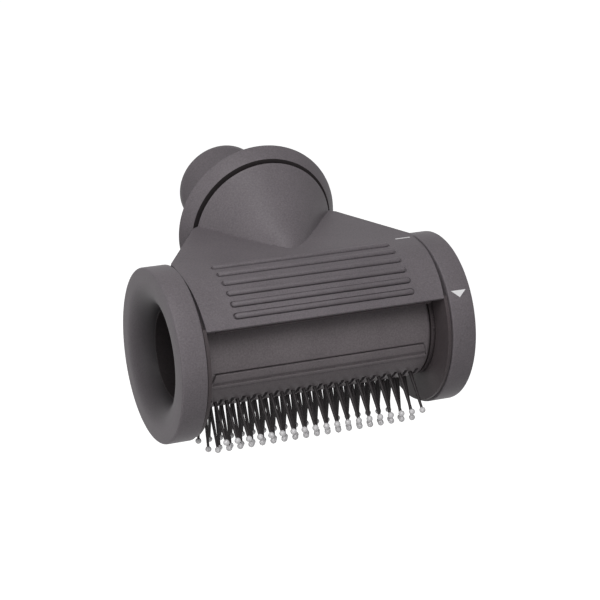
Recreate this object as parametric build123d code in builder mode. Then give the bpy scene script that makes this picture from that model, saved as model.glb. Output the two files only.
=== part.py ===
"""Hot air brush head: a turning bristled barrel in a ribbed cowl, on a round neck that plugs into a handle.

Millimetres. The origin is the centre of the spigot's rear end. +Y points out of the spigot, towards the
handle. The barrel lies along X, in front of the origin and below it, and +Z is up. Angles about the barrel
start at its front (-Y) and grow over its top.
"""

import os
from math import acos, asin, atan2, cos, degrees, hypot, radians, sin, tan

from build123d import *

os.makedirs("parts", exist_ok=True)

# ---- Driving dimensions ----
BARREL_BACK = 76.2  # spigot's end to the barrel's axis, along Y
BARREL_DROP = 24.9  # neck's axis down to the barrel's axis
WALL = 2.2  # moulded casing walls
FIT = 0.05  # radial clearance of turning and seated pieces
SIDE_GAP = 0.3  # running gap between flat faces

COWL_R = 29.4
COWL_HALF = 43.3
COWL_FRONT = 39.2  # degrees, the cowl's lower front edge
COWL_REAR = 225.0  # degrees, its edge under the back
SPLIT_Z = -11.4  # joint between the casing halves
UNDER_REACH = 1.8  # how far the underside's outline runs on behind the cowl, in cowl radii
WEDGE_BACK = 68.0  # where the wedge starts to narrow
NECK_HALF = 26.3  # half width of the wedge at the neck's end
NECK_END = 41.7
NECK_R = 25.35
NECK_SLOPE = 0.8  # radius lost for each millimetre towards the barrel
NECK_TIP_R = 2.0

RIB_R = 1.0
RIB_HALF = 32.4
RIB_COUNT = 6
RIB_FIRST = 91.8
RIB_STEP = 9.9
RIB_CLOSER = 0.18  # each pitch is a little shorter than the one above it
RIB_SEAT_R = 29.35

THROAT_R = 15.5
TUBE_WALL = 1.0
TUBE_SOCKET = 2.0  # depth of the tube's seat in each end ring
ROLLER_R = 20.0
ROLLER_WALL = 2.1
ROLLER_HALF = 41.4
ROLLER_END = 2.0
ROLLER_ROUND = 1.4
ROUND_LIMIT = 0.7  # of its wall, the most that a rounding takes

PLATE_R = 29.25
PLATE_T = 1.3
BUSH_WALL = 1.5
BUSH_FLANGE_R = 19.5
RING_R = 30.0
RING_T = 8.85
RING_EDGE = 0.7
BELL_R = 25.0
FRICTION_IN = 22.0
FRICTION_OUT = 25.0
FRICTION_T = 1.6
FRICTION_PROUD = 0.2

PIN_COUNT = 19
PIN_PITCH = 4.056
ROW_COUNT = 4
ROW_FIRST = -38.4
ROW_STEP = 16.0
PIN_ROOT_R = 0.65
PIN_TIP_R = 0.42
PIN_HOLE_R = 0.72
BALL_AT = 34.65
BALL_R = 1.12
BALL_SEAT = 0.75  # the ball's flat, inwards of its centre
RAIL_T = 1.0
RAIL_SPAN = 9.0
RAIL_HALF = 38.0
SLOT_W = 1.3
SLOT_TOP = -32.5
SLOT_BOTTOM = -92.0

STRIP_TOP = 1.2
STRIP_BOTTOM = -13.2
STRIP_HALF = 38.3  # half length at its upper edge
STRIP_FOOT_HALF = 40.0  # half length at its lower edge
STRIP_R = 20.5
STRIP_SEAT_R = 19.0
STRIP_GAP = 1.1  # degrees, open line along its upper edge
CHANNEL_TOP = -6.4
CHANNEL_BOTTOM = -10.4
CHANNEL_R = 19.9

LIP_R = 25.9
LIP_BELOW = 0.9
LIP_SPAN = 7.0
LIP_HALF = 39.2
SEAL_R = 21.7
SEAL_AT = 219.0
SEAL_SPAN = 3.0
SEAL_HALF = 41.0

SLEEVE_R = 17.0
SLEEVE_BORE = 15.0
SLEEVE_FLANGE_R = 18.5
SLEEVE_FLANGE_T = 1.6
SLEEVE_END = 28.5
COLLAR_FRONT = 40.2
COLLAR_FRONT_R = 26.4
COLLAR_EDGE = 35.7
COLLAR_EDGE_R = 29.85
COLLAR_REAR = 31.5
COLLAR_REAR_R = 22.5
COLLAR_WALL = 2.0
COLLAR_EDGE_WALLS = 1.5  # walls between the collar's edge and the corner of its pocket
SPIGOT_FRONT_R = 21.0
SPIGOT_SHOULDER_R = 16.2  # on the curve from its front to its waist
SPIGOT_FLARE_R = 14.5  # on the curve from its waist to its rim
SPIGOT_WAIST = 14.0
SPIGOT_WAIST_R = 14.0
SPIGOT_R = 16.2
SPIGOT_LAND = 2.6
INLET_R = 12.0
GASKET_T = 0.8
GRILLE_AT = 14.0
GRILLE_T = 1.6
GRILLE_HOLE_R = 1.5
GRILLE_RINGS = ((1, 0.0), (6, 4.2), (12, 8.6))

SCREW_R = 0.9
SCREW_HEAD_R = 1.7
SCREW_HEAD_T = 0.8
SCREW_L = 8.0
BOSS_R = 2.2
BOSS_SPAN = 9.0  # degrees
PLATE_SCREW_AT = 25.2
PLATE_SCREW_ANGLES = (66.0, 128.0, 196.0)
CASE_SCREW_X = 25.0
CASE_SCREW_Y = 49.3
CASE_SCREW_L = 20.0
CASE_HEAD_R = 1.9
CASE_HEAD_T = 1.4

SPLITTER_T = 1.2
SPLITTER_FRONT = 52.0
SPLITTER_BACK = 46.5
DRIVE_R = 0.6  # six-sided recess in each screw's head
DRIVE_T = 0.5

MARK_T = 0.3
MARK_PROUD = 0.04
INDEX_AT = 71.3
INDEX_L = 5.6
INDEX_W = 0.5
INDEX_END = 0.4
ARROW_MIDDLE = 48.95
ARROW_HALF = 2.8
ARROW_TOP = 42.9
ARROW_POINT = 38.1

# ---- Sizes that follow ----
TUBE_R = THROAT_R + TUBE_WALL
TUBE_HALF = COWL_HALF + PLATE_T + SIDE_GAP + TUBE_SOCKET
BUSH_R = TUBE_R + FIT + BUSH_WALL
PLATE_OUT = COWL_HALF + PLATE_T
RING_IN = PLATE_OUT + SIDE_GAP
RING_OUT = RING_IN + RING_T
COWL_IN = COWL_R - WALL
ROLLER_IN = ROLLER_R - ROLLER_WALL
RAIL_TOP_R = ROLLER_IN - FIT
WEDGE_TOP = COWL_R - BARREL_DROP
SPLIT = Plane.XY.offset(SPLIT_Z)
BARREL_AXIS = Axis((0, -BARREL_BACK, -BARREL_DROP), (1, 0, 0))
BARREL_SIDE = Plane(origin=(0, -BARREL_BACK, -BARREL_DROP), x_dir=(1, 0, 0), z_dir=(0, -1, 0))
ROWS = [ROW_FIRST - ROW_STEP * row for row in range(ROW_COUNT)]
PIN_PLACES = [(i - (PIN_COUNT - 1) / 2) * PIN_PITCH for i in range(PIN_COUNT)]
SLOT_PLACES = [(i - PIN_COUNT / 2) * PIN_PITCH for i in range(PIN_COUNT + 1)]

# The neck's underside is a steeper cone, tangent to the back of the cowl.
UNDER_REACH = hypot(BARREL_BACK - NECK_END, BARREL_DROP - NECK_R)
UNDER_ANGLE = degrees(asin(COWL_R / UNDER_REACH) + atan2(BARREL_DROP - NECK_R, BARREL_BACK - NECK_END))
UNDER_SLOPE = tan(radians(UNDER_ANGLE))
UNDER_TANGENT = 270.0 - UNDER_ANGLE
UNDER_STOP = 3.0  # degrees kept clear of the tangent line


def across(x):
    """Plane square to the barrel at station x, with its own x to the front and y up."""
    return Plane(origin=(x, -BARREL_BACK, -BARREL_DROP), x_dir=(0, -1, 0), z_dir=(-1, 0, 0))


def sector(inner, outer, start, end):
    """Slice of a ring between two angles."""
    with BuildSketch() as slice_of_ring:
        with BuildLine():
            rim = CenterArc((0, 0), outer, start, end - start)
            bore = CenterArc((0, 0), inner, start, end - start)
            Line(rim @ 0, bore @ 0)
            Line(rim @ 1, bore @ 1)
        make_face()
    return slice_of_ring.sketch


def polygon(*points):
    """Closed outline with straight sides."""
    with BuildSketch() as outline:
        with BuildLine():
            Polyline(*points, close=True)
        make_face()
    return outline.sketch


def cone_about_neck(end_radius, slope, depth, back):
    """Cone about Y that has end_radius at y = -back and changes by slope over depth."""
    with BuildPart() as cone:
        with BuildSketch(Plane.YZ):
            add(
                polygon(
                    (-back, 0),
                    (-back, end_radius),
                    (-back - depth, end_radius + slope * depth),
                    (-back - depth, 0),
                )
            )
        revolve(axis=Axis.Y)
    return cone.part


def wedge(inset, stop):
    """Body between the cowl and the neck, made smaller by inset all round."""
    turn = radians(UNDER_TANGENT - stop)
    reach = UNDER_REACH * COWL_R
    corner = (-BARREL_BACK - reach * cos(turn), -BARREL_DROP + reach * sin(turn))
    with BuildPart() as body:
        with BuildSketch(Plane.XY.offset(WEDGE_TOP - inset)):
            add(
                polygon(
                    (-COWL_HALF, -BARREL_BACK),
                    (-COWL_HALF, -WEDGE_BACK),
                    (-NECK_HALF, -NECK_END),
                    (NECK_HALF, -NECK_END),
                    (COWL_HALF, -WEDGE_BACK),
                    (COWL_HALF, -BARREL_BACK),
                )
            )
            if inset:
                offset(amount=-inset, kind=Kind.INTERSECTION)
        extrude(amount=-2 * COWL_R)
        with BuildSketch(Plane.YZ):
            add(
                polygon(
                    (-BARREL_BACK, -BARREL_DROP),
                    corner,
                    (corner[0], WEDGE_TOP + WALL),
                    (-BARREL_BACK, WEDGE_TOP + WALL),
                )
            )
        extrude(amount=COWL_HALF, both=True, mode=Mode.INTERSECT)
        under = NECK_R - inset / cos(radians(UNDER_ANGLE))
        add(cone_about_neck(under, UNDER_SLOPE, BARREL_BACK - NECK_END, NECK_END), mode=Mode.INTERSECT)
    return body.part


def neck(inset, back):
    """Cone of the neck, from y = -back towards the barrel, made smaller by inset."""
    slant = degrees(atan2(NECK_SLOPE, 1))
    radius = NECK_R - NECK_SLOPE * (back - NECK_END) - inset / cos(radians(slant))
    return cone_about_neck(radius, -NECK_SLOPE, (radius - NECK_TIP_R) / NECK_SLOPE, back)


def barrel_drum(radius, half):
    """Cylinder along the barrel's axis."""
    with BuildPart() as drum:
        with BuildSketch(across(0)):
            Circle(radius)
        extrude(amount=half, both=True)
    return drum.part


# ---- Casing ----
index_place = Location((COWL_HALF - INDEX_END - INDEX_L / 2, -INDEX_AT, WEDGE_TOP))
with BuildPart() as index_line:
    with Locations(index_place):
        Box(INDEX_L, INDEX_W, MARK_T, align=(Align.CENTER, Align.CENTER, Align.MAX))
        Box(INDEX_L, INDEX_W, MARK_PROUD, align=(Align.CENTER, Align.CENTER, Align.MIN))

with BuildPart() as casing:
    with BuildSketch(across(0)):
        add(sector(COWL_IN, COWL_R, COWL_FRONT, COWL_REAR))
    extrude(amount=COWL_HALF, both=True)
    add(wedge(0.0, UNDER_STOP))
    add(neck(0.0, NECK_END))
    add(barrel_drum(COWL_IN, COWL_HALF), mode=Mode.SUBTRACT)
    add(wedge(WALL, 2 * UNDER_STOP), mode=Mode.SUBTRACT)
    add(neck(WALL, NECK_END + WALL), mode=Mode.SUBTRACT)
    with BuildSketch(Plane.XZ.offset(NECK_END + 2 * WALL)):
        Circle(SLEEVE_R + FIT)
    extrude(amount=-3 * WALL, mode=Mode.SUBTRACT)

# Bosses for the screws that hold the end plates.
with BuildPart() as plate_bosses:
    with BuildSketch(across(COWL_HALF)):
        for angle in PLATE_SCREW_ANGLES:
            add(sector(PLATE_SCREW_AT - BOSS_R, COWL_IN + FIT, angle - BOSS_SPAN / 2, angle + BOSS_SPAN / 2))
    extrude(amount=SCREW_L)
    with BuildSketch(across(COWL_HALF)):
        for angle in PLATE_SCREW_ANGLES:
            with PolarLocations(PLATE_SCREW_AT, 1, start_angle=angle):
                Circle(SCREW_R + FIT)
    extrude(amount=SCREW_L, mode=Mode.SUBTRACT)
    mirror(about=Plane.YZ)

# Columns for the screws that join the halves.
column_places = [(side * CASE_SCREW_X, -CASE_SCREW_Y) for side in (-1, 1)]
under_there = NECK_R + UNDER_SLOPE * (CASE_SCREW_Y - NECK_END)
COLUMN_BASE = -((under_there**2 - CASE_SCREW_X**2) ** 0.5)
SCREW_SEAT = COLUMN_BASE + CASE_HEAD_T + WALL
with BuildPart() as columns:
    with BuildSketch(Plane.XY.offset(COLUMN_BASE)):
        with Locations(*column_places):
            Circle(BOSS_R)
    extrude(amount=WEDGE_TOP - WALL - COLUMN_BASE)
    add(wedge(WALL / 2, UNDER_STOP), mode=Mode.INTERSECT)

with BuildPart() as case_screw_holes:
    with BuildSketch(Plane.XY.offset(SCREW_SEAT)):
        with Locations(*column_places):
            Circle(SCREW_R + FIT)
    extrude(amount=CASE_SCREW_L + FIT)
    with BuildSketch(Plane.XY.offset(SCREW_SEAT)):
        with Locations(*column_places):
            Circle(CASE_HEAD_R + FIT)
    extrude(amount=-2 * BOSS_R - WALL)

with BuildPart() as ribs:
    for i in range(RIB_COUNT):
        rib_angle = RIB_FIRST - RIB_STEP * i + RIB_CLOSER * i * i
        with BuildSketch(across(0)):
            with PolarLocations(RIB_SEAT_R, 1, start_angle=rib_angle):
                Circle(RIB_R)
        extrude(amount=RIB_HALF, both=True)
    add(barrel_drum(COWL_IN + WALL / 2, COWL_HALF), mode=Mode.SUBTRACT)

with BuildPart() as upper_cowl:
    add(casing.part)
    add(columns.part)
    add(plate_bosses.part)
    add(case_screw_holes.part, mode=Mode.SUBTRACT)
    add(ribs.part)
    add(index_line.part, mode=Mode.SUBTRACT)
    split(bisect_by=SPLIT, keep=Keep.TOP)
upper_cowl.part.label = "upper_cowl"
export_step(upper_cowl.part, "parts/upper_cowl.step")

with BuildPart() as lower_cowl:
    add(casing.part)
    add(columns.part)
    add(plate_bosses.part)
    add(case_screw_holes.part, mode=Mode.SUBTRACT)
    split(bisect_by=SPLIT, keep=Keep.BOTTOM)
lower_cowl.part.label = "lower_cowl"
export_step(lower_cowl.part, "parts/lower_cowl.step")

index_line.part.label = "index_line"
export_step(index_line.part, "parts/index_line.step")

with BuildPart() as outlet_lip:
    with BuildSketch(across(0)):
        add(sector(LIP_R, COWL_IN - FIT, COWL_FRONT - LIP_BELOW, COWL_FRONT + LIP_SPAN))
    extrude(amount=LIP_HALF, both=True)
outlet_lip.part.label = "outlet_lip"
export_step(outlet_lip.part, "parts/outlet_lip.step")

with BuildPart() as rear_seal:
    with BuildSketch(across(0)):
        add(sector(SEAL_R, COWL_IN - FIT, SEAL_AT - SEAL_SPAN / 2, SEAL_AT + SEAL_SPAN / 2))
    extrude(amount=SEAL_HALF, both=True)
rear_seal.part.label = "rear_seal"
export_step(rear_seal.part, "parts/rear_seal.step")

with BuildPart() as flow_splitter:
    add(wedge(WALL + FIT, UNDER_STOP))
    with BuildSketch(Plane.XY.offset(SPLIT_Z - SPLITTER_T / 2)):
        with Locations((0, -(SPLITTER_FRONT + SPLITTER_BACK) / 2)):
            Rectangle(2 * COWL_HALF, SPLITTER_FRONT - SPLITTER_BACK)
        with Locations(*column_places):
            Circle(BOSS_R + FIT, mode=Mode.SUBTRACT)
    extrude(amount=SPLITTER_T, mode=Mode.INTERSECT)
flow_splitter.part.label = "flow_splitter"
export_step(flow_splitter.part, "parts/flow_splitter.step")

with BuildPart() as casing_screws:
    with BuildSketch(Plane.XY.offset(SCREW_SEAT)):
        with Locations(*column_places):
            Circle(SCREW_R)
    extrude(amount=CASE_SCREW_L)
    with BuildSketch(Plane.XY.offset(SCREW_SEAT)):
        with Locations(*column_places):
            Circle(CASE_HEAD_R)
    extrude(amount=-CASE_HEAD_T)
    with BuildSketch(Plane.XY.offset(SCREW_SEAT - CASE_HEAD_T)):
        with Locations(*column_places):
            RegularPolygon(DRIVE_R, 6)
    extrude(amount=DRIVE_T, mode=Mode.SUBTRACT)
casing_screws.part.label = "casing_screws"
export_step(casing_screws.part, "parts/casing_screws.step")

# ---- End plates, their bushes and screws ----
with BuildPart() as right_end_plate:
    with BuildSketch(across(PLATE_OUT)):
        Circle(PLATE_R)
        Circle(BUSH_R + FIT, mode=Mode.SUBTRACT)
        for angle in PLATE_SCREW_ANGLES:
            with PolarLocations(PLATE_SCREW_AT, 1, start_angle=angle):
                Circle(SCREW_R + FIT, mode=Mode.SUBTRACT)
    extrude(amount=PLATE_T)
    with BuildSketch(across(PLATE_OUT)):
        for angle in PLATE_SCREW_ANGLES:
            with PolarLocations(PLATE_SCREW_AT, 1, start_angle=angle):
                Circle(SCREW_HEAD_R + FIT)
    extrude(amount=SCREW_HEAD_T, mode=Mode.SUBTRACT)

with BuildPart() as right_bush:
    with BuildSketch(across(PLATE_OUT)):
        Circle(BUSH_R)
        Circle(TUBE_R + FIT, mode=Mode.SUBTRACT)
    extrude(amount=PLATE_OUT - ROLLER_HALF - SIDE_GAP)
    with BuildSketch(across(COWL_HALF)):
        Circle(BUSH_FLANGE_R)
        Circle(TUBE_R + FIT, mode=Mode.SUBTRACT)
    extrude(amount=COWL_HALF - ROLLER_HALF - SIDE_GAP)

for side, plate, bush in (
    ("right", right_end_plate.part, right_bush.part),
    ("left", mirror(right_end_plate.part, Plane.YZ), mirror(right_bush.part, Plane.YZ)),
):
    plate.label = side + "_end_plate"
    export_step(plate, f"parts/{side}_end_plate.step")
    bush.label = side + "_bush"
    export_step(bush, f"parts/{side}_bush.step")

with BuildPart() as plate_screws:
    for angle in PLATE_SCREW_ANGLES:
        with BuildSketch(across(PLATE_OUT)):
            with PolarLocations(PLATE_SCREW_AT, 1, start_angle=angle):
                Circle(SCREW_HEAD_R)
        extrude(amount=SCREW_HEAD_T)
        with BuildSketch(across(PLATE_OUT - SCREW_HEAD_T)):
            with PolarLocations(PLATE_SCREW_AT, 1, start_angle=angle):
                Circle(SCREW_R)
        extrude(amount=SCREW_L - SCREW_HEAD_T)
        with BuildSketch(across(PLATE_OUT)):
            with PolarLocations(PLATE_SCREW_AT, 1, start_angle=angle):
                RegularPolygon(DRIVE_R, 6)
        extrude(amount=DRIVE_T, mode=Mode.SUBTRACT)
    mirror(about=Plane.YZ)
plate_screws.part.label = "plate_screws"
export_step(plate_screws.part, "parts/plate_screws.step")

# ---- Neck, collar and spigot ----
with BuildPart() as neck_sleeve:
    with BuildSketch(Plane.YZ):
        add(
            polygon(
                (-SLEEVE_END, SLEEVE_BORE),
                (-SLEEVE_END, SLEEVE_R),
                (-NECK_END - WALL, SLEEVE_R),
                (-NECK_END - WALL, SLEEVE_FLANGE_R),
                (-NECK_END - WALL - SLEEVE_FLANGE_T, SLEEVE_FLANGE_R),
                (-NECK_END - WALL - SLEEVE_FLANGE_T, SLEEVE_BORE),
            )
        )
    revolve(axis=Axis.Y)
neck_sleeve.part.label = "neck_sleeve"
export_step(neck_sleeve.part, "parts/neck_sleeve.step")

with BuildPart() as collar:
    with BuildSketch(Plane.YZ):
        add(
            polygon(
                (-COLLAR_FRONT, SLEEVE_R + FIT),
                (-COLLAR_FRONT, COLLAR_FRONT_R),
                (-COLLAR_EDGE, COLLAR_EDGE_R),
                (-COLLAR_REAR, COLLAR_REAR_R),
                (-COLLAR_REAR, SLEEVE_R + FIT),
            )
        )
        add(
            polygon(
                (-COLLAR_FRONT + COLLAR_WALL, SLEEVE_R),
                (-COLLAR_FRONT + COLLAR_WALL, COLLAR_FRONT_R - COLLAR_WALL / 2),
                (-COLLAR_EDGE, COLLAR_EDGE_R - COLLAR_EDGE_WALLS * COLLAR_WALL),
                (-COLLAR_REAR - COLLAR_WALL, COLLAR_REAR_R),
                (-COLLAR_REAR - COLLAR_WALL, SLEEVE_R),
            ),
            mode=Mode.SUBTRACT,
        )
    revolve(axis=Axis.Y)
collar.part.label = "collar"
export_step(collar.part, "parts/collar.step")

SPIGOT_FRONT = COLLAR_REAR - SIDE_GAP
SPIGOT_STEP = SLEEVE_END - GASKET_T
with BuildPart() as spigot:
    with BuildSketch(Plane.YZ):
        with BuildLine():
            Line((-SPIGOT_FRONT, SLEEVE_R + FIT), (-SPIGOT_FRONT, SPIGOT_FRONT_R))
            ThreePointArc(
                (-SPIGOT_FRONT, SPIGOT_FRONT_R),
                (-(SPIGOT_FRONT + SPIGOT_WAIST) / 2, SPIGOT_SHOULDER_R),
                (-SPIGOT_WAIST, SPIGOT_WAIST_R),
            )
            ThreePointArc(
                (-SPIGOT_WAIST, SPIGOT_WAIST_R),
                (-(SPIGOT_WAIST + SPIGOT_LAND) / 2, SPIGOT_FLARE_R),
                (-SPIGOT_LAND, SPIGOT_R),
            )
            Polyline(
                (-SPIGOT_LAND, SPIGOT_R),
                (0, SPIGOT_R),
                (0, INLET_R),
                (-SPIGOT_STEP, INLET_R),
                (-SPIGOT_STEP, SLEEVE_R + FIT),
                (-SPIGOT_FRONT, SLEEVE_R + FIT),
            )
        make_face()
    revolve(axis=Axis.Y)
spigot.part.label = "spigot"
export_step(spigot.part, "parts/spigot.step")

with BuildPart() as neck_gasket:
    with BuildSketch(Plane.XZ.offset(SLEEVE_END)):
        Circle(SLEEVE_R)
        Circle(INLET_R + WALL / 2, mode=Mode.SUBTRACT)
    extrude(amount=-GASKET_T)
neck_gasket.part.label = "neck_gasket"
export_step(neck_gasket.part, "parts/neck_gasket.step")

with BuildPart() as inlet_grille:
    with BuildSketch(Plane.XZ.offset(GRILLE_AT)):
        Circle(INLET_R - FIT)
        for holes, pitch_radius in GRILLE_RINGS:
            with PolarLocations(pitch_radius, holes):
                Circle(GRILLE_HOLE_R, mode=Mode.SUBTRACT)
    extrude(amount=-GRILLE_T)
inlet_grille.part.label = "inlet_grille"
export_step(inlet_grille.part, "parts/inlet_grille.step")

# ---- Barrel ----
with BuildPart() as throat_tube:
    with BuildSketch(across(0)):
        Circle(TUBE_R)
        Circle(THROAT_R, mode=Mode.SUBTRACT)
    extrude(amount=TUBE_HALF, both=True)
throat_tube.part.label = "throat_tube"
export_step(throat_tube.part, "parts/throat_tube.step")


def outward(x, angle, radius):
    """Plane on the barrel whose own z points out from the axis and whose y follows growing angles."""
    turn = radians(angle)
    out = (0, -cos(turn), sin(turn))
    place = (x, -BARREL_BACK + radius * out[1], -BARREL_DROP + radius * out[2])
    return Plane(origin=place, x_dir=(1, 0, 0), z_dir=out)


def strip_outline(room):
    """Strip's front view, longer at its foot, made larger by room."""
    top = ROLLER_R * sin(radians(STRIP_TOP))
    foot = ROLLER_R * sin(radians(STRIP_BOTTOM))
    lean = (STRIP_FOOT_HALF - STRIP_HALF) / (top - foot)
    high = top + ROLLER_WALL
    low = foot - ROLLER_WALL
    upper = STRIP_HALF - lean * (high - top) + room
    lower = STRIP_FOOT_HALF + lean * (foot - low) + room
    with BuildPart() as block:
        with BuildSketch(BARREL_SIDE):
            add(polygon((-upper, high), (upper, high), (lower, low), (-lower, low)))
        extrude(amount=2 * ROLLER_R)
    return block.part


with BuildPart() as strip_seat:
    with BuildSketch(across(0)):
        add(sector(STRIP_SEAT_R, ROLLER_R + WALL, STRIP_BOTTOM, STRIP_TOP + STRIP_GAP))
    extrude(amount=ROLLER_HALF, both=True)
    add(strip_outline(SIDE_GAP), mode=Mode.INTERSECT)

with BuildPart() as roller_strip:
    with BuildSketch(across(0)):
        add(sector(STRIP_SEAT_R, STRIP_R, STRIP_BOTTOM, STRIP_TOP))
        add(sector(CHANNEL_R, STRIP_R + WALL, CHANNEL_BOTTOM, CHANNEL_TOP), mode=Mode.SUBTRACT)
    extrude(amount=ROLLER_HALF, both=True)
    add(strip_outline(0.0), mode=Mode.INTERSECT)
roller_strip.part.label = "roller_strip"
export_step(roller_strip.part, "parts/roller_strip.step")

with BuildPart() as slots:
    for x in SLOT_PLACES:
        with BuildSketch(across(x + SLOT_W / 2)):
            add(sector(ROLLER_IN - ROLLER_WALL, ROLLER_R + ROLLER_WALL, SLOT_BOTTOM, SLOT_TOP))
        extrude(amount=SLOT_W)

with BuildPart() as pin_holes:
    for angle in ROWS:
        for x in PIN_PLACES:
            with BuildSketch(outward(x, angle, ROLLER_IN - ROLLER_WALL)):
                Circle(PIN_HOLE_R)
            extrude(amount=3 * ROLLER_WALL)

with BuildPart() as roller:
    add(barrel_drum(ROLLER_R, ROLLER_HALF))
    fillet(roller.edges().filter_by(GeomType.CIRCLE), radius=min(ROLLER_ROUND, ROUND_LIMIT * ROLLER_WALL))
    with BuildSketch(across(0)):
        Circle(ROLLER_IN)
    extrude(amount=ROLLER_HALF - ROLLER_END, both=True, mode=Mode.SUBTRACT)
    add(barrel_drum(TUBE_R + FIT, ROLLER_HALF), mode=Mode.SUBTRACT)
    add(strip_seat.part, mode=Mode.SUBTRACT)
    add(slots.part, mode=Mode.SUBTRACT)
    add(pin_holes.part, mode=Mode.SUBTRACT)
roller.part.label = "roller"
export_step(roller.part, "parts/roller.step")

for row, angle in enumerate(ROWS, start=1):
    with BuildPart() as comb:
        with BuildSketch(across(0)):
            add(sector(RAIL_TOP_R - RAIL_T, RAIL_TOP_R, angle - RAIL_SPAN / 2, angle + RAIL_SPAN / 2))
        extrude(amount=RAIL_HALF, both=True)
        pin_length = BALL_AT - BALL_SEAT - RAIL_TOP_R + RAIL_T / 2
        for x in PIN_PLACES:
            with Locations(outward(x, angle, RAIL_TOP_R - RAIL_T / 2)):
                Cone(PIN_ROOT_R, PIN_TIP_R, pin_length, align=(Align.CENTER, Align.CENTER, Align.MIN))
    comb.part.label = f"bristle_comb_{row}"
    export_step(comb.part, f"parts/bristle_comb_{row}.step")

    with BuildPart() as tips:
        for x in PIN_PLACES:
            with Locations(outward(x, angle, BALL_AT)):
                Sphere(BALL_R, arc_size1=-degrees(asin(BALL_SEAT / BALL_R)), align=None)
    tips.part.label = f"bristle_tips_{row}"
    export_step(tips.part, f"parts/bristle_tips_{row}.step")

# ---- End rings ----
arrow_middle = (ARROW_TOP + ARROW_POINT) / 2
arrow_high = RING_R * tan(radians(ARROW_TOP - arrow_middle))
with BuildPart() as arrow_marker:
    with BuildSketch(outward(ARROW_MIDDLE, arrow_middle, 0)):
        add(polygon((-ARROW_HALF, arrow_high), (ARROW_HALF, arrow_high), (0, -arrow_high)))
    extrude(amount=RING_R + WALL)
    add(barrel_drum(RING_R + MARK_PROUD, RING_OUT), mode=Mode.INTERSECT)
    add(barrel_drum(RING_R - MARK_T, RING_OUT), mode=Mode.SUBTRACT)
arrow_marker.part.label = "arrow_marker"
export_step(arrow_marker.part, "parts/arrow_marker.step")

BELL_DEPTH = RING_OUT - RING_IN
bell_turn = degrees(acos(TUBE_SOCKET / BELL_DEPTH))
with BuildPart() as plain_ring:
    with BuildSketch(BARREL_SIDE):
        with BuildLine():
            bell = EllipticalCenterArc(
                (RING_IN, BELL_R), BELL_DEPTH, BELL_R - THROAT_R, 0, arc_size=-bell_turn
            )
            Polyline(
                bell @ 1,
                (RING_IN + TUBE_SOCKET, TUBE_R + FIT),
                (RING_IN, TUBE_R + FIT),
                (RING_IN, FRICTION_IN),
                (RING_IN + FRICTION_T, FRICTION_IN),
                (RING_IN + FRICTION_T, FRICTION_OUT),
                (RING_IN, FRICTION_OUT),
                (RING_IN, RING_R),
                (RING_OUT, RING_R),
                (RING_OUT, BELL_R),
            )
        make_face()
    revolve(axis=BARREL_AXIS)
    rim_edges = plain_ring.edges().filter_by(GeomType.CIRCLE).sort_by(SortBy.RADIUS)[-2:]
    fillet(rim_edges, radius=RING_EDGE)

with BuildPart() as right_end_ring:
    add(plain_ring.part)
    add(arrow_marker.part, mode=Mode.SUBTRACT)
right_end_ring.part.label = "right_end_ring"
export_step(right_end_ring.part, "parts/right_end_ring.step")

with BuildPart() as left_end_ring:
    add(mirror(plain_ring.part, Plane.YZ))
left_end_ring.part.label = "left_end_ring"
export_step(left_end_ring.part, "parts/left_end_ring.step")

with BuildPart() as right_friction_ring:
    with BuildSketch(across(RING_IN + FRICTION_T)):
        Circle(FRICTION_OUT - FIT)
        Circle(FRICTION_IN + FIT, mode=Mode.SUBTRACT)
    extrude(amount=FRICTION_T + FRICTION_PROUD)
right_friction_ring.part.label = "right_friction_ring"
export_step(right_friction_ring.part, "parts/right_friction_ring.step")

left_friction_ring = mirror(right_friction_ring.part, Plane.YZ)
left_friction_ring.label = "left_friction_ring"
export_step(left_friction_ring, "parts/left_friction_ring.step")
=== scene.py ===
"""Hot air brush head: finished casing, rings, collar and spigot, and the finishes of every piece."""

from math import acos, atan2, cos, degrees, hypot, radians, sin, tau

import bmesh
import bpy
from bpy.props import FloatProperty, FloatVectorProperty, IntProperty, PointerProperty
from mathutils import Matrix, Vector


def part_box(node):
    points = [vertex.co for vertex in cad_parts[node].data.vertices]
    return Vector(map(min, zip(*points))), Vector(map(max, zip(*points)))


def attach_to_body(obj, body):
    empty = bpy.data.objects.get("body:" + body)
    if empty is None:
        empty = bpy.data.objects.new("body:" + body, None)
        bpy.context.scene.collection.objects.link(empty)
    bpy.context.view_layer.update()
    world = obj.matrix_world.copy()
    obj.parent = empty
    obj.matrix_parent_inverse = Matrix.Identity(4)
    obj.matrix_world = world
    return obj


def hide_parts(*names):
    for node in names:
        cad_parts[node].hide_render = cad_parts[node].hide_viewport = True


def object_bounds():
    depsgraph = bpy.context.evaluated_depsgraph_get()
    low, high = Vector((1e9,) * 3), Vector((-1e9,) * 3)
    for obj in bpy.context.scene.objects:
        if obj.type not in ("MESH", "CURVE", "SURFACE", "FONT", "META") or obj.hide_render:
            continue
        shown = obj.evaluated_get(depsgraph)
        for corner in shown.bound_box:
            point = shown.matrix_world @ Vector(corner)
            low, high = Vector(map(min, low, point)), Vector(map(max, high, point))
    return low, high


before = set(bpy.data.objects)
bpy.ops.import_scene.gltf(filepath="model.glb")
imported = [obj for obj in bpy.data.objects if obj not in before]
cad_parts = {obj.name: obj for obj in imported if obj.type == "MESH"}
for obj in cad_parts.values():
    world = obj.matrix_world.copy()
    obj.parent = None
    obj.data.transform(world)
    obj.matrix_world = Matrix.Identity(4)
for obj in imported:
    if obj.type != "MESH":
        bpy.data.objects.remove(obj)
cad_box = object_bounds()

bl_info = {
    "name": "Hot Air Brush Head",
    "version": (1, 0, 0),
    "blender": (4, 5, 0),
    "location": "3D View > Sidebar > Brush",
    "description": "Builds and finishes a hot air brush head around its packed frame",
    "category": "Object",
}

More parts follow.
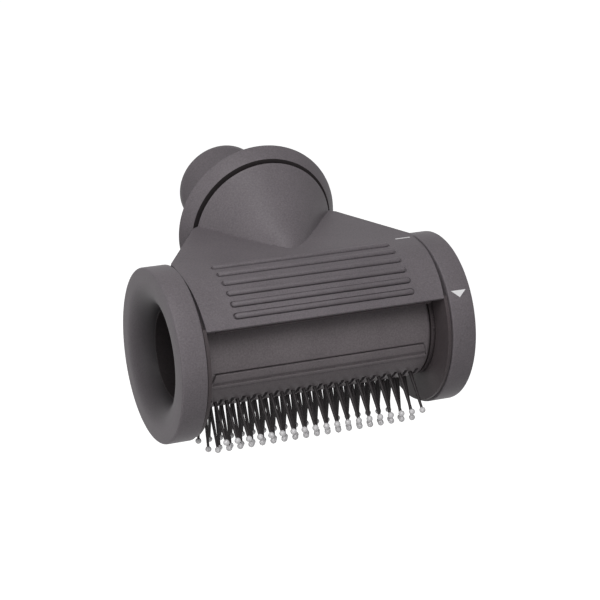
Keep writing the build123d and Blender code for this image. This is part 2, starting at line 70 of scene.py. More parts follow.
MM = 0.001
SATIN = 0.47
BUMP_DEPTH = 0.03 * MM
SMALL_EDGE = 0.35 * MM
FLANGE_LIP = 1.45 * MM  # the sleeve's flange past the bore that turns on it
SPIGOT_LAND = 2.6 * MM
SPIGOT_STEP = -27.7 * MM
WAIST_AT = -14.0 * MM
CURVE_STEPS = 14
BELL_STEPS = 22
SHARP_CUT = 28.0
RIB_COUNT = 6
RIB_FIRST = 91.8
RIB_STEP = 9.9
RIB_CLOSER = 0.18
ROW_ANGLES = (-38.4, -54.4, -70.4, -86.4)
PIN_COUNT = 19
PIN_FOOT = 17.3 * MM
WHITE = (1.0, 1.0, 1.0, 1.0)

# Places of the frame's pieces.
RING_LOW, RING_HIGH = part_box("right_end_ring")
TUBE_LOW, TUBE_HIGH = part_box("throat_tube")
COLLAR_LOW, COLLAR_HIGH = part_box("collar")
SPIGOT_LOW, SPIGOT_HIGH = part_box("spigot")
SLEEVE_LOW, SLEEVE_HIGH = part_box("neck_sleeve")
BARREL = Vector((0, (RING_LOW.y + RING_HIGH.y) / 2, (RING_LOW.z + RING_HIGH.z) / 2))
RING_R = (RING_HIGH.y - RING_LOW.y) / 2
TUBE_R = (TUBE_HIGH.y - TUBE_LOW.y) / 2
COLLAR_R = (COLLAR_HIGH.x - COLLAR_LOW.x) / 2
SPIGOT_R = (SPIGOT_HIGH.x - SPIGOT_LOW.x) / 2


# ---- Node maths ----
class Value:
    """A socket that takes Python's arithmetic by adding Math nodes."""

    def __init__(self, recipe, socket):
        self.recipe = recipe
        self.socket = socket

    def _math(self, operation, *terms):
        return self.recipe.node("ShaderNodeMath", {"operation": operation}, terms)

    def __add__(self, other):
        return self._math("ADD", self, other)

    def __radd__(self, other):
        return self._math("ADD", other, self)

    def __sub__(self, other):
        return self._math("SUBTRACT", self, other)

    def __rsub__(self, other):
        return self._math("SUBTRACT", other, self)

    def __mul__(self, other):
        return self._math("MULTIPLY", self, other)

    def __rmul__(self, other):
        return self._math("MULTIPLY", other, self)


class Recipe:
    """A material or world and the nodes that make it."""

    def __init__(self, name, data=None):
        self.data = data or bpy.data.materials.new(name)
        self.data.use_nodes = True
        self.tree = self.data.node_tree
        self.tree.nodes.clear()

    def node(self, kind, settings=None, values=(), out=0):
        """Adds a node, sets it up, feeds its sockets and returns one of its outputs."""
        made = self.tree.nodes.new(kind)
        for key, setting in (settings or {}).items():
            setattr(made, key, setting)
        pairs = values.items() if isinstance(values, dict) else enumerate(values)
        for key, value in pairs:
            self.feed(made.inputs[key], value)
        return Value(self, made.outputs[out]) if len(made.outputs) else None

    def feed(self, socket, value):
        """Links a wrapped socket, or sets a plain value."""
        if isinstance(value, Value):
            self.tree.links.new(value.socket, socket)
        else:
            socket.default_value = value

    def point(self):
        """The point on the piece, in its own coordinates."""
        return self.node("ShaderNodeTexCoord", out="Object")

    def noise(self, size, detail=2.0, roughness=0.5):
        """Cloudy value between 0 and 1 whose blotches are about size across."""
        return self.node(
            "ShaderNodeTexNoise",
            {"noise_dimensions": "3D"},
            {"Vector": self.point(), "Scale": 1 / size, "Detail": detail, "Roughness": roughness},
        )

    def blend(self, factor, low, high):
        """Colour between low and high by a value."""
        return self.node(
            "ShaderNodeMix",
            {"data_type": "RGBA", "clamp_factor": True},
            {0: factor, 6: low, 7: high},
            out=2,
        )

    def bump(self, height, distance, strength):
        """Normal tilted by a height."""
        return self.node(
            "ShaderNodeBump", None, {"Height": height, "Distance": distance, "Strength": strength}
        )

    def surface(self, **sockets):
        """Principled surface, with underscores in names read as spaces."""
        values = {name.replace("_", " "): value for name, value in sockets.items()}
        shader = self.node("ShaderNodeBsdfPrincipled", None, values)
        self.node("ShaderNodeOutputMaterial", None, {"Surface": shader})
        return self.data


def shade(colour, gain):
    """Colour made lighter or darker."""
    return (*(min(1.0, channel * gain) for channel in colour[:3]), 1.0)


# ---- Finishes ----
def moulded_plastic(name, colour, roughness, grain, depth, bell=None):
    """Satin moulded plastic with a fine grain, with painted shade that darkens it towards a bell's throat
    if it has one.
    """
    recipe = Recipe(name)
    fine = recipe.noise(grain, 3.0, 0.6)
    cloud = recipe.noise(14 * MM, 2.0)
    low, high = shade(colour, 0.55), shade(colour, 1.35)
    tone = recipe.blend(fine * 0.9 + cloud * 0.3 - 0.1, low, high)
    # Painted shade: towards the bell's throat the base colour darkens to about a sixth of the plastic's
    # colour, standing in for the shade inside the bell.
    if bell:
        inner, outer = bell
        split = "ShaderNodeSeparateXYZ"
        across = recipe.node(split, None, [recipe.point()], "Y") - BARREL.y
        upward = recipe.node(split, None, [recipe.point()], "Z") - BARREL.z
        radius = recipe.node("ShaderNodeMath", {"operation": "SQRT"}, [across * across + upward * upward])
        light = (radius - inner) * (1 / (outer - inner))
        tone = recipe.blend(light, shade(colour, 0.16), tone)
    return recipe.surface(
        Base_Color=tone,
        Roughness=fine * 0.12 + (roughness - 0.06),
        Specular_IOR_Level=0.12,
        Normal=recipe.bump(fine, depth, 0.6),
    )


def pin_plastic(name, colour):
    """Smooth black nylon."""
    recipe = Recipe(name)
    cloud = recipe.noise(1.5 * MM)
    return recipe.surface(
        Base_Color=recipe.blend(cloud, shade(colour, 0.8), shade(colour, 1.3)),
        Roughness=cloud * 0.1 + 0.5,
        Specular_IOR_Level=0.25,
    )


def tip_plastic(name, colour):
    """Pale bead of clear resin, a little cloudy."""
    recipe = Recipe(name)
    cloud = recipe.noise(0.9 * MM)
    return recipe.surface(
        Base_Color=recipe.blend(cloud, shade(colour, 0.9), shade(colour, 1.08)),
        Roughness=cloud * 0.1 + 0.2,
        Transmission_Weight=0.2,
        IOR=1.46,
    )


def printed_mark(name, colour):
    """Pad-printed ink, slightly uneven."""
    recipe = Recipe(name)
    speck = recipe.noise(0.4 * MM)
    return recipe.surface(
        Base_Color=recipe.blend(speck, shade(colour, 0.92), colour),
        Roughness=speck * 0.1 + 0.5,
    )


def seal_rubber(name, colour):
    """Matt rubber."""
    recipe = Recipe(name)
    bloom = recipe.noise(2.0 * MM)
    return recipe.surface(
        Base_Color=recipe.blend(bloom, shade(colour, 0.8), shade(colour, 1.3)),
        Roughness=bloom * 0.1 + 0.75,
        Normal=recipe.bump(recipe.noise(0.3 * MM), 0.02 * MM, 0.4),
    )


def screw_steel(name, colour):
    """Plain steel with fine scratches."""
    recipe = Recipe(name)
    scratch = recipe.noise(0.25 * MM)
    return recipe.surface(
        Base_Color=colour,
        Metallic=1.0,
        Roughness=scratch * 0.2 + 0.25,
    )


# ---- Mesh helpers ----
def rounded(corners, steps=5):
    """Outline whose corners (along, radius, round) become arcs."""
    points = []
    count = len(corners)
    for i, (along, radius, size) in enumerate(corners):
        here = Vector((along, radius))
        if not size:
            points.append(here)
            continue
        before = (Vector(corners[i - 1][:2]) - here).normalized()
        after = (Vector(corners[(i + 1) % count][:2]) - here).normalized()
        half = acos(max(-1.0, min(1.0, before.dot(after)))) / 2
        middle = here + (before + after).normalized() * size / sin(half)
        first = here + before * size / (sin(half) / cos(half))
        last = here + after * size / (sin(half) / cos(half))
        start = first - middle
        turn = start.angle_signed(last - middle)
        for step in range(steps + 1):
            spoke = start.copy()
            spoke.rotate(Matrix.Rotation(-turn * step / steps, 2))
            points.append(middle + spoke)
    return points


def spun(name, outline, centre, axis, segments, material):
    """Closed ring made by spinning a closed outline of (along, radius) about an axis."""
    mesh = bmesh.new()
    out = Vector((0, 0, 1))
    corners = [mesh.verts.new(centre + axis * along + out * radius) for along, radius in outline]
    edges = [mesh.edges.new((a, b)) for a, b in zip(corners, corners[1:] + corners[:1])]
    bmesh.ops.spin(
        mesh,
        geom=corners + edges,
        cent=centre,
        axis=axis,
        angle=tau,
        steps=segments,
        use_merge=True,
    )
    bmesh.ops.remove_doubles(mesh, verts=mesh.verts, dist=0.001 * MM)
    bmesh.ops.recalc_face_normals(mesh, faces=mesh.faces)
    return finished(name, mesh, material)


def finished(name, mesh, material, sharp=32.0):
    """Turns a bmesh into an object with smooth faces and sharp corners."""
    data = bpy.data.meshes.new(name)
    mesh.to_mesh(data)
    mesh.free()
    for face in data.polygons:
        face.use_smooth = True
    data.set_sharp_from_angle(angle=radians(sharp))
    data.materials.append(material)
    piece = bpy.data.objects.new(name, data)
    bpy.context.scene.collection.objects.link(piece)
    return piece


def about_barrel(point):
    """Radius and angle of a point about the barrel's axis, 0 in front and 90 on top."""
    across, upward = BARREL.y - point.y, point.z - BARREL.z
    return hypot(across, upward), degrees(atan2(upward, across)) % 360


def cover_plates(mesh, sizes):
    """Draws the casing's ends over the end plates, less so near its front edge."""
    for vert in mesh.verts:
        angle = about_barrel(vert.co)[1]
        if abs(vert.co.x) > sizes.casing_half - 0.05 * MM and angle < 240:
            share = max(0.0, min(1.0, (angle - sizes.cover_from) / sizes.cover_over))
            reach = sizes.casing_half + sizes.cover * share
            vert.co.x = reach if vert.co.x > 0 else -reach


def tuck_plate(mesh, sizes):
    """Draws the part of a plate's rim that the casing covers in under it."""
    for vert in mesh.verts:
        radius, angle = about_barrel(vert.co)
        if radius > sizes.casing_inside and 41 < angle < 223:
            share = sizes.casing_inside / radius
            vert.co.y = BARREL.y + (vert.co.y - BARREL.y) * share
            vert.co.z = BARREL.z + (vert.co.z - BARREL.z) * share


def softened(node, name, width, material, body, shape=None, cutter=None):
    """Copy of a frame node, shaped and cut if asked, with its corners rounded off."""
    mesh = bmesh.new()
    mesh.from_mesh(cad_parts[node].data)
    bmesh.ops.remove_doubles(mesh, verts=mesh.verts, dist=0.002 * MM)
    if shape:
        shape(mesh, bpy.context.scene.brush_shapes)
    piece = finished(name, mesh, material)
    if cutter:
        cut = piece.modifiers.new("cut", "BOOLEAN")
        cut.operation = "DIFFERENCE"
        cut.solver = "EXACT"
        cut.object = cutter
        bpy.context.view_layer.update()
        depsgraph = bpy.context.evaluated_depsgraph_get()
        result = bpy.data.meshes.new_from_object(piece.evaluated_get(depsgraph))
        if len(result.polygons) in (0, len(piece.data.polygons)):
            raise RuntimeError(f"{name}: the cutter cut nothing")
        piece.modifiers.clear()
        piece.data = result
        for face in result.polygons:
            face.use_smooth = True
        result.set_sharp_from_angle(angle=radians(SHARP_CUT))
        bpy.data.objects.remove(cutter)
    if width:
        bevel = piece.modifiers.new("edge_round", "BEVEL")
        bevel.width = width
        bevel.segments = 2
        bevel.limit_method = "ANGLE"
        bevel.angle_limit = radians(34)
    steady = piece.modifiers.new("steady_normals", "WEIGHTED_NORMAL")
    steady.keep_sharp = True
    place(piece, body, node)
    return piece


def rod(mesh, half, radius, angle, seat, sides=16, rounds=9):
    """Adds a round-ended rod along X, seated at an angle about the barrel."""
    made = bmesh.ops.create_uvsphere(mesh, u_segments=sides, v_segments=rounds, radius=radius)["verts"]
    bmesh.ops.rotate(mesh, verts=made, cent=(0, 0, 0), matrix=Matrix.Rotation(radians(90), 3, "Y"))
    turn = radians(angle)
    middle = Vector((0, BARREL.y - seat * cos(turn), BARREL.z + seat * sin(turn)))
    for vert in made:
        vert.co.x += half - radius if vert.co.x > 0 else radius - half
        vert.co += middle


def place(piece, body, *nodes):
    """Puts a piece on its body, in place of the frame's nodes."""
    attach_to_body(piece, body)
    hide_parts(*nodes)


def attach(piece, body):
    """Puts an added piece on its body."""
    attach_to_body(piece, body)


def paint(material, *nodes):
    """Gives frame nodes a finish."""
    for node in nodes:
        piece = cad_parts[node]
        piece.data.materials.clear()
        piece.data.materials.append(material)


# ---- Settings ----
class BrushFinishes(bpy.types.PropertyGroup):
    """Colours of the head."""

    casing: FloatVectorProperty(
        name="Casing",
        description="Anthracite plastic of the casing",
        subtype="COLOR",
        size=4,
        default=(0.120, 0.107, 0.116, 1.0),
    )
    barrel: FloatVectorProperty(
        name="Barrel",
        description="Plastic of the roller",
        subtype="COLOR",
        size=4,
        default=(0.125, 0.110, 0.116, 1.0),
    )
    dark: FloatVectorProperty(
        name="Dark parts",
        description="Plastic of the end plates and inner pieces",
        subtype="COLOR",
        size=4,
        default=(0.060, 0.050, 0.053, 1.0),
    )
    pin: FloatVectorProperty(
        name="Pins",
        description="Nylon of the bristles",
        subtype="COLOR",
        size=4,
        default=(0.016, 0.013, 0.014, 1.0),
    )
    tip: FloatVectorProperty(
        name="Tips",
        description="Resin of the bristle tips",
        subtype="COLOR",
        size=4,
        default=(0.60, 0.59, 0.60, 1.0),
    )
    mark: FloatVectorProperty(
        name="Marks",
        description="Ink of the arrow and the index line",
        subtype="COLOR",
        size=4,
        default=(0.66, 0.65, 0.66, 1.0),
    )
    grain: FloatProperty(
        name="Grain",
        description="Size of the moulded grain",
        subtype="DISTANCE",
        default=0.55 * MM,
    )


class BrushShapes(bpy.types.PropertyGroup):
    """Sizes of the finished pieces."""

    segments: IntProperty(name="Segments", description="Steps round each turned piece", default=160)
    edge: FloatProperty(
        name="Edge",
        description="Rounding of the casing's edges",
        subtype="DISTANCE",
        default=0.22 * MM,
    )
    ring_edge: FloatProperty(
        name="Ring edge",
        description="Rounding of the end rings' rims",
        subtype="DISTANCE",
        default=0.75 * MM,
    )
    casing_half: FloatProperty(
        name="Casing half length",
        description="Half the casing's length along the barrel",
        subtype="DISTANCE",
        default=43.3 * MM,
    )
    casing_inside: FloatProperty(
        name="Casing inside",
        description="Radius inside the casing",
        subtype="DISTANCE",
        default=27.1 * MM,
    )
    cover: FloatProperty(
        name="Cover",
        description="How far the casing's ends reach over the end plates",
        subtype="DISTANCE",
        default=1.3 * MM,
    )
    cover_from: FloatProperty(
        name="Cover start",
        description="Angle in degrees about the barrel where the casing's ends start to reach out",
        default=39.2,
    )
    cover_over: FloatProperty(
        name="Cover rise",
        description="Degrees over which they reach out in full",
        default=45.0,
    )
    rib_half: FloatProperty(
        name="Rib half length",
        description="Half the length of each rib",
        subtype="DISTANCE",
        default=32.5 * MM,
    )
    rib_radius: FloatProperty(
        name="Rib radius", description="Radius of each rib", subtype="DISTANCE", default=0.95 * MM
    )
    rib_seat: FloatProperty(
        name="Rib seat",
        description="Radius from the barrel's axis to each rib's middle",
        subtype="DISTANCE",
        default=29.42 * MM,
    )
    groove_radius: FloatProperty(
        name="Groove radius",
        description="Radius of the channel that each rib lies in",
        subtype="DISTANCE",
        default=1.32 * MM,
    )
    groove_seat: FloatProperty(
        name="Groove seat",
        description="Radius from the barrel's axis to each channel's middle",
        subtype="DISTANCE",
        default=29.8 * MM,
    )
    pin_root: FloatProperty(
        name="Pin root", description="Radius of a pin at its root", subtype="DISTANCE", default=0.7 * MM
    )
    pin_end: FloatProperty(
        name="Pin end", description="Radius of a pin at its tip", subtype="DISTANCE", default=0.46 * MM
    )
    bead_radius: FloatProperty(
        name="Bead radius", description="Radius of a ball tip", subtype="DISTANCE", default=1.11 * MM
    )
    bead_seat: FloatProperty(
        name="Bead seat",
        description="Radius from the barrel's axis to a ball tip's middle",
        subtype="DISTANCE",
        default=34.65 * MM,
    )
    bell_radius: FloatProperty(
        name="Bell radius",
        description="Radius where the bell-mouth leaves the ring's face",
        subtype="DISTANCE",
        default=25.0 * MM,
    )
    throat_radius: FloatProperty(
        name="Throat radius",
        description="Radius of the barrel's open throat",
        subtype="DISTANCE",
        default=TUBE_R - 1.0 * MM,
    )
    tube_socket: FloatProperty(
        name="Tube socket",
        description="Depth of the throat tube's seat in each ring",
        subtype="DISTANCE",
        default=2.0 * MM,
    )
    collar_front_radius: FloatProperty(
        name="Collar front",
        description="Radius of the collar's front rim",
        subtype="DISTANCE",
        default=26.4 * MM,
    )
    collar_edge_back: FloatProperty(
        name="Collar edge",
        description="Distance from the collar's front to its widest edge",
        subtype="DISTANCE",
        default=4.5 * MM,
    )
    collar_rear_radius: FloatProperty(
        name="Collar rear",
        description="Radius of the collar's rear face",
        subtype="DISTANCE",
        default=22.5 * MM,
    )
    spigot_waist: FloatProperty(
        name="Spigot waist",
        description="Radius of the spigot's narrowest place",
        subtype="DISTANCE",
        default=14.0 * MM,
    )
    spigot_rim: FloatProperty(
        name="Spigot rim",
        description="Radius of the spigot's flared rim",
        subtype="DISTANCE",
        default=16.2 * MM,
    )
    spigot_bore: FloatProperty(
        name="Spigot bore",
        description="Radius of the air inlet",
        subtype="DISTANCE",
        default=12.0 * MM,
    )


class BrushStage(bpy.types.PropertyGroup):
    """Camera and light."""

    lens: FloatProperty(name="Lens", description="Focal length", default=120.1)
    key: FloatProperty(name="Key", description="Strength of the key light", subtype="POWER", default=1.8)
    fill: FloatProperty(
        name="Side", description="Strength of the side light", subtype="POWER", default=0.75
    )
    front: FloatProperty(
        name="Front", description="Strength of the front light", subtype="POWER", default=0.7
    )
    ambient: FloatProperty(name="Ambient", description="Strength of the room's light", default=0.22)
    floor_drop: FloatProperty(
        name="Floor",
        description="Distance from the head down to the floor",
        subtype="DISTANCE",
        default=0.15,
    )


# ---- Operators ----
class BRUSH_OT_casing(bpy.types.Operator):
    """Finish the two casing halves"""

    bl_idname = "brush.casing"
    bl_label = "Casing"

    def execute(self, context):
        looks = context.scene.brush_finishes
        sizes = context.scene.brush_shapes
        grey = moulded_plastic("casing_plastic", looks.casing, SATIN, looks.grain, BUMP_DEPTH)
        angles = [RIB_FIRST - RIB_STEP * i + RIB_CLOSER * i * i for i in range(RIB_COUNT)]
        cut = bmesh.new()
        beads = bmesh.new()
        overrun = sizes.groove_radius - sizes.rib_radius
        for angle in angles:
            rod(cut, sizes.rib_half + 2 * overrun, sizes.groove_radius, angle, sizes.groove_seat)
            rod(beads, sizes.rib_half, sizes.rib_radius, angle, sizes.rib_seat)
        cutter = finished("rib_cutter", cut, grey)
        softened("upper_cowl", "upper_casing", sizes.edge, grey, "head", cover_plates, cutter)
        softened("lower_cowl", "lower_casing", sizes.edge, grey, "head", cover_plates)
        attach(finished("casing_ribs", beads, grey), "head")
        return {"FINISHED"}


class BRUSH_OT_end_rings(bpy.types.Operator):
    """Turn the two bell-mouthed end rings"""

    bl_idname = "brush.end_rings"
    bl_label = "End rings"

    def execute(self, context):
        looks = context.scene.brush_finishes
        sizes = context.scene.brush_shapes
        # The rings' plastic carries painted shade: the bell-mouth's colour darkens towards the throat.
        grey = moulded_plastic(
            "ring_plastic_painted_shade",
            looks.casing,
            SATIN,
            looks.grain,
            BUMP_DEPTH,
            (sizes.throat_radius, sizes.bell_radius + 0.5 * MM),
        )
        inner = RING_LOW.x
        depth = RING_HIGH.x - inner
        seat = inner + sizes.tube_socket
        # The bell is a quarter ellipse, stopped where the throat tube's end stands.
        last_turn = acos(sizes.tube_socket / depth)
        bell = []
        for step in range(BELL_STEPS + 1):
            turn = last_turn * (1 - step / BELL_STEPS)
            along = inner + depth * cos(turn)
            radius = sizes.bell_radius - (sizes.bell_radius - sizes.throat_radius) * sin(turn)
            bell.append(Vector((along, radius)))
        back = rounded(
            [
                (RING_HIGH.x, RING_R, sizes.ring_edge),
                (inner, RING_R, SMALL_EDGE),
                (inner, TUBE_R + 0.05 * MM, 0),
                (seat, TUBE_R + 0.05 * MM, 0),
                (seat, sizes.throat_radius, 0),
                (RING_HIGH.x, sizes.bell_radius, 0),
            ]
        )
        outline = bell + back[:-2]
        for side, name, node in ((1, "right_ring", "right_end_ring"), (-1, "left_ring", "left_end_ring")):
            centre = Vector((0, BARREL.y, BARREL.z))
            ring = spun(name, outline, centre, Vector((side, 0, 0)), sizes.segments, grey)
            place(ring, "barrel", node)
        return {"FINISHED"}


class BRUSH_OT_neck(bpy.types.Operator):
    """Turn the collar and the spigot"""

    bl_idname = "brush.neck"
    bl_label = "Collar and spigot"

    def execute(self, context):
        looks = context.scene.brush_finishes
        sizes = context.scene.brush_shapes
        grey = moulded_plastic("neck_plastic", looks.casing, SATIN, looks.grain, BUMP_DEPTH)
        # Painted shade: a near-black material that stands in for the shadow in the groove in front of the
        # collar.
        dark = moulded_plastic("groove_painted_shade", shade(looks.dark, 0.3), 0.6, looks.grain, 0.02 * MM)
        origin = Vector((0, 0, 0))
        along_y = Vector((0, 1, 0))
        sleeve = (SLEEVE_HIGH.x - SLEEVE_LOW.x) / 2 - FLANGE_LIP
        front = COLLAR_LOW.y
        collar = spun(
            "neck_collar",
            rounded(
                [
                    (front, sleeve, 0),
                    (front, sizes.collar_front_radius, 0.3 * MM),
                    (front + sizes.collar_edge_back, COLLAR_R, 0.25 * MM),
                    (COLLAR_HIGH.y, sizes.collar_rear_radius, 0.3 * MM),
                    (COLLAR_HIGH.y, sleeve, 0),
                ]
            ),
            origin,
            along_y,
            sizes.segments,
            grey,
        )
        # Painted shade: the collar's front face, deep in the groove, takes the near-black material.
        collar.data.materials.append(dark)
        for face in collar.data.polygons:
            if face.normal.y < -0.9:
                face.material_index = 1
        place(collar, "collar", "collar")

        start = SPIGOT_LOW.y
        land = SPIGOT_HIGH.y - SPIGOT_LAND
        waist_at = WAIST_AT
        steps = CURVE_STEPS
        outside = []
        for step in range(steps):
            share = step / steps
            drop = (1 - share) ** 2
            outside.append(
                Vector(
                    (
                        start + (waist_at - start) * share,
                        sizes.spigot_waist + (SPIGOT_R - sizes.spigot_waist) * drop,
                    )
                )
            )
        for step in range(steps + 1):
            share = step / steps
            outside.append(
                Vector(
                    (
                        waist_at + (land - waist_at) * share,
                        sizes.spigot_waist + (sizes.spigot_rim - sizes.spigot_waist) * share**2,
                    )
                )
            )
        rim = rounded(
            [
                (land, sizes.spigot_rim, 0),
                (SPIGOT_HIGH.y, sizes.spigot_rim, SMALL_EDGE),
                (SPIGOT_HIGH.y, sizes.spigot_bore, SMALL_EDGE),
                (SPIGOT_STEP, sizes.spigot_bore, 0),
                (SPIGOT_STEP, sleeve, 0),
                (start, sleeve, 0),
            ]
        )
        spigot = spun("air_spigot", outside + rim[1:], origin, along_y, sizes.segments, grey)
        place(spigot, "head", "spigot")
        return {"FINISHED"}


class BRUSH_OT_barrel(bpy.types.Operator):
    """Finish the roller, its strip and the throat tube"""

    bl_idname = "brush.barrel"
    bl_label = "Barrel"

    def execute(self, context):
        looks = context.scene.brush_finishes
        grey = moulded_plastic("roller_plastic", looks.barrel, 0.42, looks.grain, 0.02 * MM)
        # Painted shade: the throat liner is darkened to near-black, below the dark parts' colour, to stand
        # in for the shade inside the throat.
        dark = moulded_plastic("tube_plastic_painted_shade", shade(looks.dark, 0.35), 0.6, looks.grain, 0.02 * MM)
        softened("roller", "roller_shell", 0, grey, "barrel")
        softened("roller_strip", "roller_strip_bar", 0.12 * MM, grey, "barrel")
        softened("throat_tube", "throat_liner", 0.15 * MM, dark, "barrel")
        return {"FINISHED"}


class BRUSH_OT_bristles(bpy.types.Operator):
    """Finish the bristle pins and their ball tips"""

    bl_idname = "brush.bristles"
    bl_label = "Bristles"

    def execute(self, context):
        looks = context.scene.brush_finishes
        sizes = context.scene.brush_shapes
        black = pin_plastic("pin_nylon", looks.pin)
        pale = tip_plastic("tip_resin", looks.tip)
        for row, angle in enumerate(ROW_ANGLES, start=1):
            low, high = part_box(f"bristle_tips_{row}")
            first = low.x + sizes.bead_radius
            pitch = (high.x - low.x - 2 * sizes.bead_radius) / (PIN_COUNT - 1)
            turn = radians(angle)
            way = Vector((0, -cos(turn), sin(turn)))
            upright = way.to_track_quat("Z", "Y").to_matrix()
            pins = bmesh.new()
            beads = bmesh.new()
            for i in range(PIN_COUNT):
                foot = Vector((first + pitch * i, BARREL.y, BARREL.z))
                start, stop = PIN_FOOT, sizes.bead_seat - 0.5 * sizes.bead_radius
                made = bmesh.ops.create_cone(
                    pins,
                    cap_ends=True,
                    segments=12,
                    radius1=sizes.pin_root,
                    radius2=sizes.pin_end,
                    depth=stop - start,
                )["verts"]
                bmesh.ops.rotate(pins, verts=made, cent=(0, 0, 0), matrix=upright)
                bmesh.ops.translate(pins, verts=made, vec=foot + way * (start + stop) / 2)
                ball = bmesh.ops.create_icosphere(beads, subdivisions=2, radius=sizes.bead_radius)["verts"]
                bmesh.ops.translate(beads, verts=ball, vec=foot + way * sizes.bead_seat)
            place(finished(f"pins_{row}", pins, black, 50), "barrel", f"bristle_comb_{row}")
            place(finished(f"beads_{row}", beads, pale, 60), "barrel", f"bristle_tips_{row}")
        return {"FINISHED"}


class BRUSH_OT_end_plates(bpy.types.Operator):
    """Finish the end plates, the outlet lip and the inner pieces"""

    bl_idname = "brush.end_plates"
    bl_label = "End plates and inner pieces"

    def execute(self, context):
        looks = context.scene.brush_finishes
        dark = moulded_plastic("plate_plastic", looks.dark, 0.45, looks.grain, 0.02 * MM)
        rubber = seal_rubber("seal", shade(looks.dark, 0.7))
        steel = screw_steel("steel", (0.55, 0.55, 0.56, 1.0))
        for side in ("left", "right"):
            softened(f"{side}_end_plate", f"{side}_plate", 0.12 * MM, dark, "head", tuck_plate)
            softened(f"{side}_bush", f"{side}_bearing", 0, dark, "head")
            paint(rubber, f"{side}_friction_ring")
        paint(dark, "outlet_lip", "flow_splitter", "neck_sleeve", "inlet_grille")
        paint(rubber, "rear_seal", "neck_gasket")
        paint(steel, "casing_screws", "plate_screws")
        return {"FINISHED"}


class BRUSH_OT_marks(bpy.types.Operator):
    """Finish the arrow and the index line"""

    bl_idname = "brush.marks"
    bl_label = "Marks"

    def execute(self, context):
        ink = printed_mark("mark_ink", context.scene.brush_finishes.mark)
        paint(ink, "arrow_marker", "index_line")
        return {"FINISHED"}


class BRUSH_OT_stage(bpy.types.Operator):
    """Set up the floor, lamps, room light and camera"""

    bl_idname = "brush.stage"
    bl_label = "Stage"

    def execute(self, context):
        scene = context.scene
        stage = scene.brush_stage
        scene.view_settings.view_transform = "Standard"

        floor_data = bpy.data.meshes.new("floor")
        mesh = bmesh.new()
        bmesh.ops.create_grid(mesh, x_segments=1, y_segments=1, size=6.0)
        bmesh.ops.translate(mesh, verts=mesh.verts, vec=(0, 0, cad_box[0][2] - stage.floor_drop))
        mesh.to_mesh(floor_data)
        mesh.free()
        floor = bpy.data.objects.new("floor", floor_data)
        scene.collection.objects.link(floor)
        floor_data.materials.append(floor_paint())

        room = Recipe("room", bpy.data.worlds.new("room"))
        scene.world = room.data
        seen = seen_directly(room)
        light = room.node("ShaderNodeBackground", None, {"Color": WHITE, "Strength": stage.ambient})
        pale = room.node("ShaderNodeBackground", None, {"Color": WHITE, "Strength": 1.0})
        mixed = room.node("ShaderNodeMixShader", None, (seen, light, pale))
        room.node("ShaderNodeOutputWorld", None, {"Surface": mixed})

        target = Vector((0, BARREL.y + 0.02, BARREL.z))
        soft_lamp("key", target, -28, 60, 0.5, 0.28, stage.key)
        soft_lamp("side", target, -72, 16, 0.5, 0.3, stage.fill)
        soft_lamp("front", target, -8, 6, 0.6, 0.4, stage.front)

        data = bpy.data.cameras.new("camera")
        data.lens = stage.lens
        data.sensor_width = 36.0
        data.clip_start = 0.05
        camera = bpy.data.objects.new("camera", data)
        right = Vector((0.916, -0.397, 0.055)).normalized()
        forward = Vector((0.380, 0.816, -0.436)).normalized()
        up = right.cross(forward).normalized()
        right = forward.cross(up)
        turn = Matrix((right, up, -forward)).transposed().to_4x4()
        camera.matrix_world = Matrix.Translation((-0.2609, -0.6362, 0.2877)) @ turn
        scene.collection.objects.link(camera)
        scene.camera = camera
        return {"FINISHED"}


def seen_directly(recipe):
    """1 where a camera, glossy or transmission ray arrives."""
    path = "ShaderNodeLightPath"
    camera_ray = recipe.node(path, out="Is Camera Ray")
    glossy_ray = recipe.node(path, out="Is Glossy Ray")
    clear_ray = recipe.node(path, out="Is Transmission Ray")
    return camera_ray + glossy_ray + clear_ray


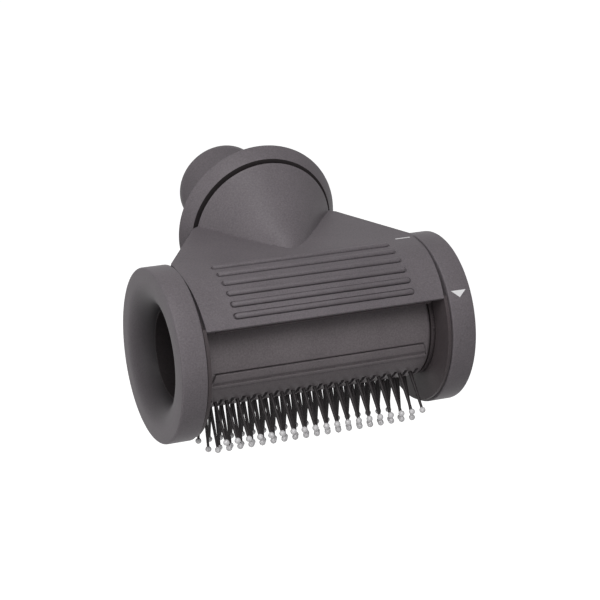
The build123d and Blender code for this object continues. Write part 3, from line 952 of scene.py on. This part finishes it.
def floor_paint():
    """White floor that keeps a soft shadow."""
    recipe = Recipe("floor_paint")
    matt = recipe.node("ShaderNodeBsdfDiffuse", None, {"Color": (0.5, 0.5, 0.5, 1.0)})
    glow = recipe.node("ShaderNodeEmission", None, {"Color": WHITE, "Strength": 0.9})
    bright = recipe.node("ShaderNodeAddShader", None, (matt, glow))
    mixed = recipe.node("ShaderNodeMixShader", None, (seen_directly(recipe), matt, bright))
    recipe.node("ShaderNodeOutputMaterial", None, {"Surface": mixed})
    return recipe.data


def soft_lamp(name, target, azimuth, elevation, distance, size, power):
    """Square lamp that looks at target from an azimuth and elevation; 0 is in front."""
    data = bpy.data.lights.new(name, "AREA")
    data.shape = "SQUARE"
    data.size = size
    data.energy = power
    level = cos(radians(elevation))
    way = Vector((sin(radians(azimuth)) * level, -cos(radians(azimuth)) * level, sin(radians(elevation))))
    lamp = bpy.data.objects.new(name, data)
    lamp.location = target + way * distance
    lamp.rotation_euler = way.to_track_quat("Z", "Y").to_euler()
    bpy.context.scene.collection.objects.link(lamp)


# ---- Panel ----
STEPS = (
    BRUSH_OT_casing,
    BRUSH_OT_end_rings,
    BRUSH_OT_neck,
    BRUSH_OT_barrel,
    BRUSH_OT_bristles,
    BRUSH_OT_end_plates,
    BRUSH_OT_marks,
    BRUSH_OT_stage,
)


class BRUSH_PT_panel(bpy.types.Panel):
    """Lists the pieces of the head in the order they are made"""

    bl_idname = "BRUSH_PT_panel"
    bl_label = "Hot Air Brush"
    bl_space_type = "VIEW_3D"
    bl_region_type = "UI"
    bl_category = "Brush"

    def draw(self, context):
        for step in STEPS:
            self.layout.operator(step.bl_idname)


CLASSES = (BrushFinishes, BrushShapes, BrushStage, *STEPS, BRUSH_PT_panel)


def register():
    """Adds the classes and the scene's settings."""
    for kind in CLASSES:
        bpy.utils.register_class(kind)
    bpy.types.Scene.brush_finishes = PointerProperty(type=BrushFinishes)
    bpy.types.Scene.brush_shapes = PointerProperty(type=BrushShapes)
    bpy.types.Scene.brush_stage = PointerProperty(type=BrushStage)


def unregister():
    """Takes them away again."""
    del bpy.types.Scene.brush_stage
    del bpy.types.Scene.brush_shapes
    del bpy.types.Scene.brush_finishes
    for kind in reversed(CLASSES):
        bpy.utils.unregister_class(kind)


def main():
    """Builds every piece."""
    register()
    for step in STEPS:
        category, name = step.bl_idname.split(".")
        getattr(getattr(bpy.ops, category), name)()


if __name__ == "__main__":
    main()
